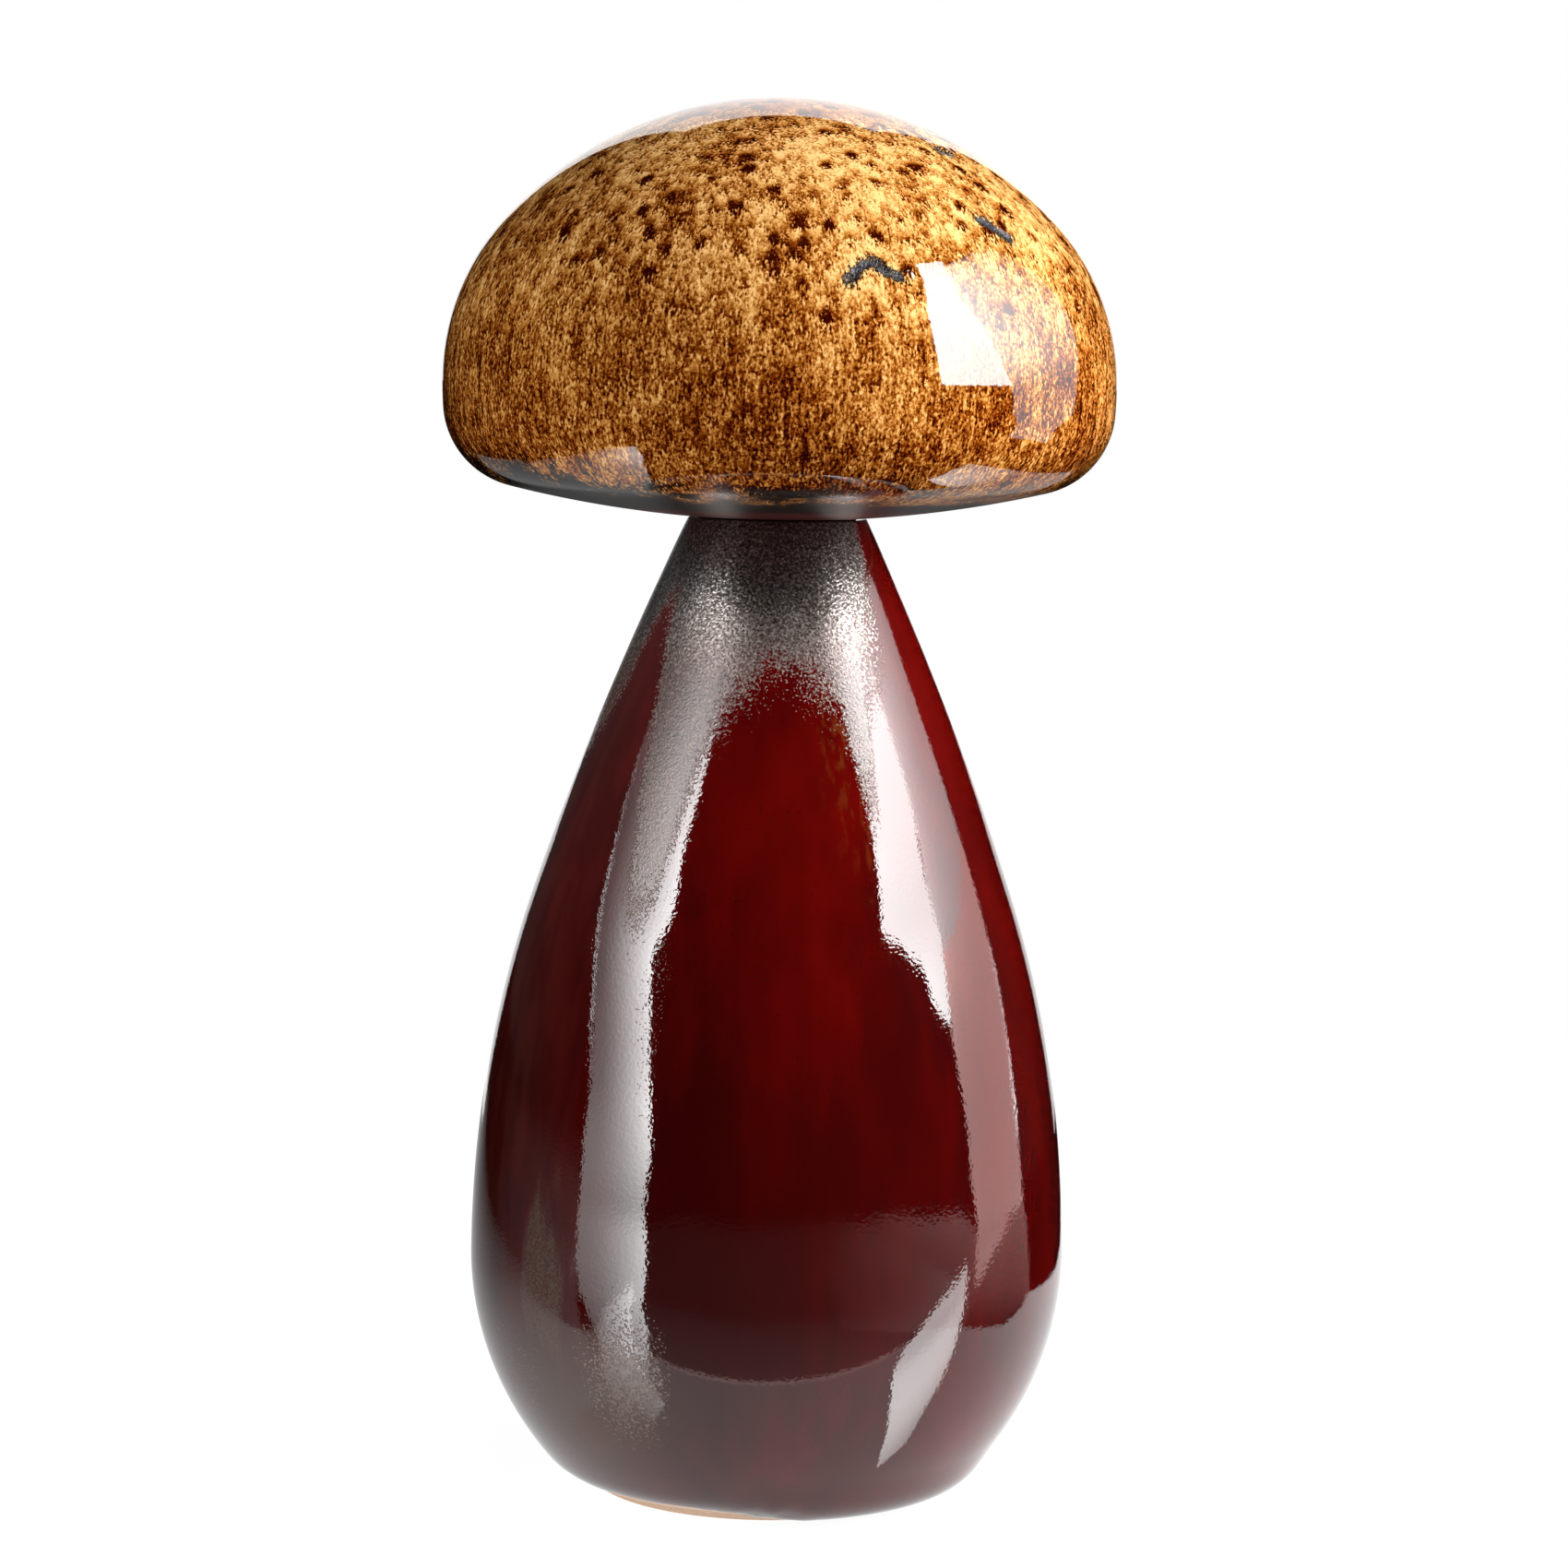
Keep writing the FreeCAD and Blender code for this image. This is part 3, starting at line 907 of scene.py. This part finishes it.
# Each panel stands on a circle about the axis and is given as the radius of that, a bend, and rows
# from its bottom up: (height in mm, its left and right end as angles, brightness at the left and right).
# Between its ends the brightness changes as a power, the bend, of the way across.
panels = {
    "stemWindow": (600, 1.0, (
        (219, 79.4, 80, 14, 13), (233, 75.5, 80.4, 15, 13), (256, 72, 81.4, 16, 13),
        (276, 72.3, 82.4, 16, 13), (300, 70.5, 83.6, 16, 12), (322, 64.8, 84, 16, 12),
        (344, 61.5, 82.8, 16, 12), (356, 57.5, 82.4, 16, 12), (367, 55.3, 82.4, 16, 12),
        (383, 52.8, 83.2, 16, 13), (393, 53.5, 85, 16, 13), (425, 56, 85, 17, 14), (470, 57, 83.5, 17, 15),
        (509, 60, 82.5, 18, 16), (576, 57, 83, 20, 16), (640, 52, 84, 22, 17), (752, 50, 84, 22, 16),
        (900, 50, 84, 20, 15))),
    "stemCard": (600, 0.5, (
        (0, 84, 103, 2.8, 2.0), (7, 84, 111.5, 2.8, 1.9), (54, 81.4, 111, 2.9, 1.9),
        (92, 81, 111.5, 3.0, 1.9), (130, 80.6, 112.2, 3.2, 1.9), (172, 79.7, 114.4, 3.6, 1.9),
        (195, 79.4, 115, 4.0, 1.9), (219, 80, 115.5, 4.5, 1.9), (256, 81.4, 116, 5.5, 1.9),
        (290, 83, 116, 6.5, 1.9))),
    "stemCardHigh": (600, 0.5, (
        (290, 83, 116, 7, 2.1), (322, 84, 116, 8, 2.2), (356, 82.4, 116, 9, 2.2), (393, 85, 116.4, 9, 2.0),
        (425, 85, 116.8, 10, 2.1), (470, 83.5, 117, 11, 2.1), (509, 82.5, 116.4, 11, 2.0),
        (541, 82.5, 114.5, 10, 1.8), (576, 83, 110, 8, 1.2), (640, 84, 107, 6, 0.6), (900, 84, 104, 5, 0.5))),
    "stemCardEdge": (598, 1.0, (
        (60, 110.6, 111.2, 5, 5), (84, 110.9, 111.8, 9, 9), (104, 111.2, 112.2, 9, 9),
        (140, 112.2, 112.8, 4, 4), (205, 114.9, 115.4, 5, 5), (215, 115.0, 115.5, 5, 5))),
    "stemStrip": (600, 2.1, (
        (-430, -64, -51, 1.0, 4.0), (-300, -66, -47.5, 1.1, 6.0), (-184, -67, -44.5, 1.2, 7.5),
        (-80, -70, -46, 1.3, 8), (-34, -73, -43.8, 1.8, 10), (12, -73, -43.8, 2.2, 11),
        (46, -72.5, -45.4, 2.0, 6.5), (72, -72.5, -44.6, 2.2, 9), (108, -72.7, -43.7, 2.2, 12),
        (166, -72.8, -45.3, 1.6, 16), (222, -76, -48, 1.4, 14), (269, -81.8, -49.8, 1.0, 15),
        (314, -87, -52.5, 0.8, 16), (345, -89.6, -54, 0.7, 16), (384, -91, -49.8, 0.6, 17),
        (420, -93.5, -47, 0.6, 17), (466, -92, -48.6, 0.6, 16), (522, -90, -44.5, 0.6, 14),
        (576, -88, -43, 0.6, 12), (652, -84, -34, 0.6, 11), (708, -82, -35, 0.5, 10),
        (800, -82, -35, 0.4, 9), (950, -82, -36, 0.3, 8))),
    "stemStripEdge": (598, 1.0, (
        (160, -73.4, -72.8, 4, 4), (250, -80.2, -79.4, 7, 7), (330, -88.8, -88.0, 6, 6),
        (420, -93.9, -93.3, 3, 3))),
    "stemHaze": (602, 1.0, (
        (-500, -125, -73, 0.0, 0.35), (-60, -125, -73, 0.0, 0.35), (45, -125, -73, 0.0, 0.2),
        (90, -135, -74, 0.0, 0.04), (110, -165, -78, 0.03, 0.02), (250, -165, -80, 0.05, 0.02),
        (420, -165, -80, 0.12, 0.08), (600, -165, -80, 0.2, 0.15), (900, -165, -80, 0.2, 0.1))),
    "capWindow": (600, 1.0, (
        (262, 52, 79.5, 16, 13), (300, 51.2, 77.5, 16, 13), (380, 51, 74.5, 17, 14), (477, 51, 72, 18, 16),
        (597, 52.5, 68.6, 18, 17), (703, 56, 66.5, 17, 17), (791, 58.5, 71, 17, 14), (882, 60.5, 75, 16, 11),
        (925, 61.5, 63, 14, 14))),
    "capHaze": (600, 0.7, (
        (262, 79.5, 113.5, 3.6, 1.8), (330, 76.5, 116, 8, 1.9), (380, 74.5, 117, 10, 1.9),
        (477, 72, 117, 12, 1.7), (597, 68.6, 113, 13, 1.2), (703, 66.5, 108, 14, 0.8),
        (791, 71, 104, 10, 0.6), (850, 74, 98, 5, 0.3))),
    "capCard": (600, 1.0, (
        (0, 84, 106, 2.4, 2.0), (120, 83.5, 104, 2.6, 2.0), (180, 82, 108, 2.8, 1.9),
        (225, 80, 113, 2.7, 1.8), (262, 79.5, 113.5, 3.4, 1.8))),
    "stemDusk": (602, 1.0, (
        (20, 111, 140, 0.03, 0.0), (900, 117, 145, 0.03, 0.0))),
    "stemBackdrop": (600, 1.0, (
        (0, 153, 207, 1, 1), (150, 153, 207, 1, 1), (170, 164, 196, 1, 1), (918, 164, 196, 1, 1))),
    "capBackdrop": (600, 1.0, (
        (250, 160, 200, 0.7, 0.7), (380, 160, 200, 1.5, 1.3), (840, 164, 198, 1.9, 1.7))),
}
# What lies on the table, for the glaze alone, in rows from the front back: (y in mm, its left and
# right end as x, brightness at the left and right)
floors = {
    "stemBoard": (
        (-112, -120, 150, 0.9, 1.0), (-105, -130, 158, 0.9, 1.1), (-70, -155, 170, 0.72, 1.3),
        (-4, -232, 175, 0.35, 1.6), (42, -327, 205, 0.12, 1.6), (82, -340, 238, 0.06, 1.7),
        (160, -362, 208, 0.05, 1.5), (274, -364, 150, 0.05, 1.2), (700, -420, 160, 0.05, 1.0)),
    "stemBoardEdge": (
        (-114, -118, 148, 0.4, 0.5), (-109, -122, 152, 0.4, 0.5)),
    "stemFront": (
        (-1200, -700, 700, 0.05, 0.06), (-260, -560, 420, 0.05, 0.1), (-170, -480, 380, 0.12, 0.25),
        (-112, -420, 333, 0.1, 0.45)),
    "stemTable": (
        (-66, 171, 333, 0.1, 0.5), (-11, 175, 435, 0.1, 0.8), (85, 240, 541, 0.3, 0.8),
        (137, 341, 578, 0.5, 0.8), (201, 479, 622, 0.7, 0.8), (269, 660, 670, 0.8, 0.8)),
    "stemCardFoot": (
        (-66, 333, 596, 2.4, 2.4), (-61, 333, 597, 2.4, 2.4), (-11, 435, 600, 2.4, 2.3),
        (85, 541, 594, 2.2, 2.0), (120, 574, 588, 2.0, 2.0)),
    "stemStreak": (
        (-240, -262, -250, 4, 5), (-182, -245, -192, 1.5, 6), (-142, -215, -138, 0.9, 5.5),
        (-100, -150, -82, 0.8, 5), (-80, -100, -44, 0.5, 2.5), (-68, -59, -44, 0.3, 1)),
    "stemFrontRight": (
        (-900, 420, 900, 0.0, 0.4), (-600, 230, 900, 0.0, 0.6), (-200, 90, 860, 0.05, 1.0),
        (-112, 150, 700, 0.3, 0.8), (-66, 171, 597, 0.35, 0.9)),
    "stemSunPatch": (
        (-140, 262, 275, 5, 5), (-120, 158, 334, 5, 5), (-108, 107, 373, 5, 5), (-97, 85, 420, 5.5, 5),
        (-85, 69, 300, 7.5, 5.5), (-69, 53, 161, 7.5, 5.5), (-60, 45, 99, 6, 4), (-56, 40, 70, 5, 3),
        (-50, 34, 46, 3, 2)),
    "capBehind": (
        (150, 130, 262, 0.6, 0.9), (190, -300, 265, 0.3, 0.7), (600, -400, 330, 0.2, 0.5)),
    "capLeftPatch": (
        (-175, -246, -243, 5, 5), (-116, -273, -181, 0.8, 6.0), (-24, -276, -131, 0.3, 2.2),
        (50, -276, -104, 0.4, 1.2), (170, -276, -74, 0.4, 0.5), (190, -276, -70, 0.1, 0.1)),
    "capRightPatch": (
        (-19, 230, 240, 2.5, 2.2), (-5, 185, 242, 3, 2.3), (36, 132, 249, 4.5, 2.0), (88, 128, 257, 3, 1.7),
        (150, 130, 262, 1.2, 0.8)),
}
studio = {
    "columns": 12,  # of each panel, between its two ends
    "warm": ("stemCard", "stemTable", "stemCardFoot", "stemBoardEdge", "stemFrontRight"),
    "warmColour": (1.45, 0.95, 0.90),
    "floorSize": 6.0,
    "floorGlow": (0.96, 1.0),  # the floor's own share of its white, near and far
    "floorAlbedo": (0.13, 0.0),  # the rest is light that falls on it
    "fade": (0.25, 1.4),  # from this far out to that, in metres
    "floorLight": 0.85,  # how bright the floor is to what it lights
    "darkRoom": 0.003,
    "ambient": 0.15,
    # Place and size of each soft lamp in metres, and its power in watts
    "lamps": {"keyLamp": ((1.08, -0.24, 0.66), 0.7, 16.5), "topLamp": ((0.20, -0.60, 1.25), 0.8, 2.3),
              "fillLamp": ((-0.98, -0.80, 0.66), 0.8, 6.3)},
}


def stageMesh(name, spots, faces, material):
    mesh = bpy.data.meshes.new(name)
    mesh.from_pydata(spots, [], faces)
    mesh.materials.append(material)
    thing = bpy.data.objects.new(name, mesh)
    bpy.context.scene.collection.objects.link(thing)
    return thing


def makePanelLight(name, colour):
    # adds its brightness to what lies behind it
    material, tree = newMaterial(name)
    level = addNode("ShaderNodeAttribute", {}, tree, attribute_name="level")["Fac"]
    glow = addNode("ShaderNodeEmission", {"Color": (*colour, 1), "Strength": level})[0]
    clear = tree.nodes.new("ShaderNodeBsdfTransparent").outputs[0]
    both = addNode("ShaderNodeAddShader", {0: glow, 1: clear})[0]
    addNode("ShaderNodeOutputMaterial", {"Surface": both})
    return material


def makePanel(name, rows, curve, placeOf):
    # only the glaze of its own piece mirrors it, and it lights nothing else
    spots, levels, faces = [], [], []
    columns = studio["columns"]
    for row, (place, left, right, leftGlow, rightGlow) in enumerate(rows):
        for step in range(columns + 1):
            share = step / columns
            spots.append(placeOf(place, left + (right - left) * share))
            levels.append(leftGlow + (rightGlow - leftGlow) * share**curve)
            if row and step:
                last = len(spots) - 1
                faces.append((last - columns - 2, last - columns - 1, last, last - 1))
    thing = stageMesh(name, spots, faces, warmLight if name in studio["warm"] else whiteLight)
    thing.data.attributes.new("level", "FLOAT", "POINT").data.foreach_set("value", levels)
    thing.visible_camera = thing.visible_diffuse = thing.visible_shadow = False
    thing.visible_transmission = thing.visible_volume_scatter = False
    lit = bpy.data.collections.new(name + "Lights")
    lit.objects.link(stemPiece if name.startswith("stem") else capPiece)
    thing.light_linking.receiver_collection = lit


def makePanels():
    for name, (radius, curve, rows) in panels.items():
        makePanel(name, rows, curve, lambda height, angle: Vector((
            radius * math.sin(math.radians(angle)), -radius * math.cos(math.radians(angle)), height)) * mm)
    for depth, (name, rows) in enumerate(floors.items(), 1):
        makePanel(name, rows, 1.0, lambda y, x: (x * mm, y * mm, -0.1 * mm * depth))


def makeFloor():
    material, tree = newMaterial("whiteFloor")
    away = measure("LENGTH", tree.nodes.new("ShaderNodeTexCoord").outputs["Object"])
    near, far = studio["fade"]
    glow = rise(away, near, far, *studio["floorGlow"])
    grey = rise(away, near, far, *studio["floorAlbedo"])
    matte = addNode("ShaderNodeBsdfDiffuse", {"Color": grey})
    rays = tree.nodes.new("ShaderNodeLightPath").outputs
    seen = calc("MAXIMUM", rays["Is Camera Ray"], product(rays["Is Diffuse Ray"], studio["floorLight"]))
    light = addNode("ShaderNodeEmission", {"Color": (1, 1, 1, 1), "Strength": product(seen, glow)})
    both = addNode("ShaderNodeAddShader", {0: matte[0], 1: light[0]})
    addNode("ShaderNodeOutputMaterial", {"Surface": both[0]})
    size = studio["floorSize"]
    corners = [(-size, -size, 0), (size, -size, 0), (size, size, 0), (-size, size, 0)]
    floor = stageMesh("floor", corners, [(0, 1, 2, 3)], material)
    floor.visible_glossy = False


def makeWorld():
    world = bpy.data.worlds.new("studio")
    bpy.context.scene.world = world
    world.use_nodes = True
    tree = world.node_tree
    tree.nodes.clear()
    rays = tree.nodes.new("ShaderNodeLightPath").outputs
    seen = calc("MAXIMUM", rays["Is Camera Ray"], rays["Is Transmission Ray"])
    level = calc("MAXIMUM", seen, product(rays["Is Diffuse Ray"], studio["ambient"]))
    level = calc("MAXIMUM", level, studio["darkRoom"])
    glow = addNode("ShaderNodeBackground", {"Color": (1, 1, 1, 1), "Strength": level})
    addNode("ShaderNodeOutputWorld", {"Surface": glow[0]})


def softLamp(name, place, size, power):
    data = bpy.data.lights.new(name, "AREA")
    data.shape, data.size, data.energy = "SQUARE", size, power
    lamp = bpy.data.objects.new(name, data)
    lamp.location = place
    middle = (cadBox[0] + cadBox[1]) / 2
    lamp.rotation_euler = (middle - Vector(place)).to_track_quat("-Z", "Y").to_euler()
    lamp.visible_camera = lamp.visible_glossy = False
    bpy.context.scene.collection.objects.link(lamp)


makeCamera()
whiteLight = makePanelLight("whiteLight", (1, 1, 1))
warmLight = makePanelLight("warmLight", studio["warmColour"])
makePanels()
makeFloor()
makeWorld()
for name, (place, size, power) in studio["lamps"].items():
    softLamp(name, place, size, power)
bpy.context.scene.view_settings.view_transform = "Standard"
print("studio made")
